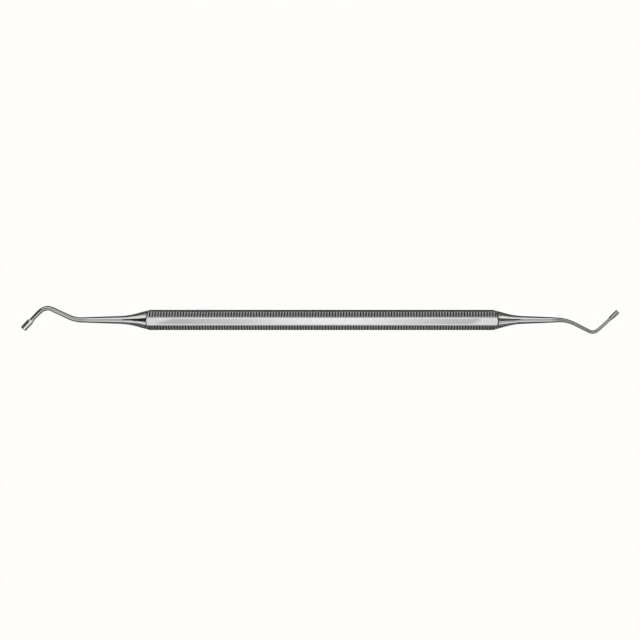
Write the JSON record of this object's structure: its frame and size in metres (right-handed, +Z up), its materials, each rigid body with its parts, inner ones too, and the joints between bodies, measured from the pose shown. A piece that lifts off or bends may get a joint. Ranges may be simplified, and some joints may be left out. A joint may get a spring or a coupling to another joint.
{
  "type": "dental filling instrument",
  "caption": "Slim double-ended dental filling instrument in steel, with a grooved octagonal handle, turned necks and bent tapered shanks that end in small flat round heads.",
  "frame": {"origin": "middle of the underside of the box that the instrument fills as it lies on one smooth flat of its handle", "axes": "+X along the handle from the broad head to the fine head, +Y to the side that the broad end's shank first bends to, +Z up from the surface it lies on"},
  "size_m": [0.1698, 0.008, 0.0055],
  "materials": {
    "satin_stainless_steel": "fine satin on the handle's flats and grooves, polished on the turned necks, shanks and heads"
  },
  "bodies": {
    "root": {"filling_instrument": "satin_stainless_steel"}
  },
  "joints": []
}
